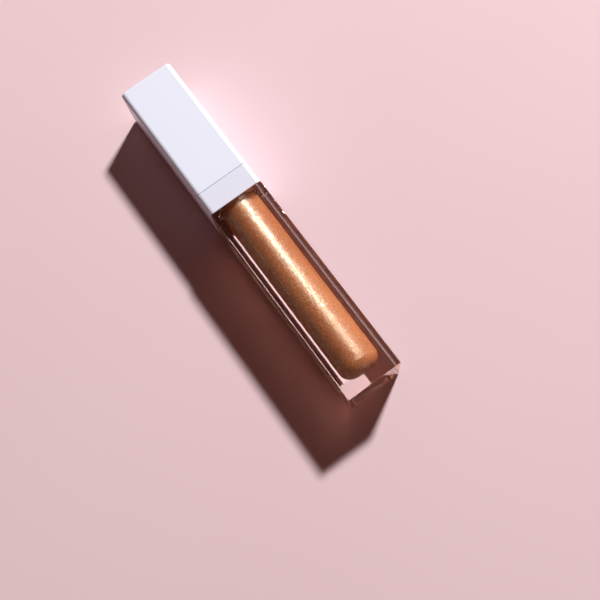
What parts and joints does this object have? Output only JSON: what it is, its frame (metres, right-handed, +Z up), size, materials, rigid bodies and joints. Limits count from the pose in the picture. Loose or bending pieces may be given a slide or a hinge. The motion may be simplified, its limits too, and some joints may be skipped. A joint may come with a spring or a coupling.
{
  "type": "lip gloss tube",
  "caption": "Square clear tube of shimmering lip gloss lying on its side, with a white collar, a white screw cap and a doe-foot applicator wand inside.",
  "frame": {"origin": "on the surface that the tube lies on, under the middle of its length and width", "axes": "+X along the tube from the bottle's base to the end of the cap, +Y across it, +Z up from the side it lies on"},
  "size_m": [0.1106, 0.017, 0.017],
  "materials": {
    "clear_body": "clear, polished, thick-walled",
    "collar_white": "white moulded plastic, smooth",
    "wiper_plastic": "milky natural polyethylene",
    "gloss": "thick golden-bronze gloss with fine shimmer",
    "washer_foam": "soft foamed liner",
    "wand_plastic": "translucent white moulded rod",
    "flock": "short nylon flock, wet with gloss",
    "insert_plastic": "natural polypropylene",
    "cap_white": "white moulded plastic, smooth"
  },
  "bodies": {
    "vial": {"bottle": "clear_body", "collar": "collar_white", "wiper": "wiper_plastic", "gloss_fill": "gloss"},
    "seal": {"sealing_washer": "washer_foam"},
    "wand": {"wand_stem": "wand_plastic"},
    "cap": {"cap_shell": "cap_white", "cap_insert": "insert_plastic", "doe_foot_tip": "flock"}
  },
  "joints": [
    {"name": "wand_pull", "type": "slide", "parent": "vial", "child": "seal", "axis": [1, 0, 0], "range_m": [0, 0.08]},
    {"name": "cap_rise", "type": "slide", "parent": "seal", "child": "wand", "axis": [1, 0, 0], "range_m": [0, 0.0036]},
    {"name": "cap_turn", "type": "hinge", "parent": "wand", "child": "cap", "pos_m": [0, 0, 0.0085], "axis": [1, 0, 0], "range_deg": [0, 540]}
  ],
  "couplings": [
    {"joint": "cap_rise", "follows": "cap_turn", "m_per_rad": 0.00038197}
  ]
}
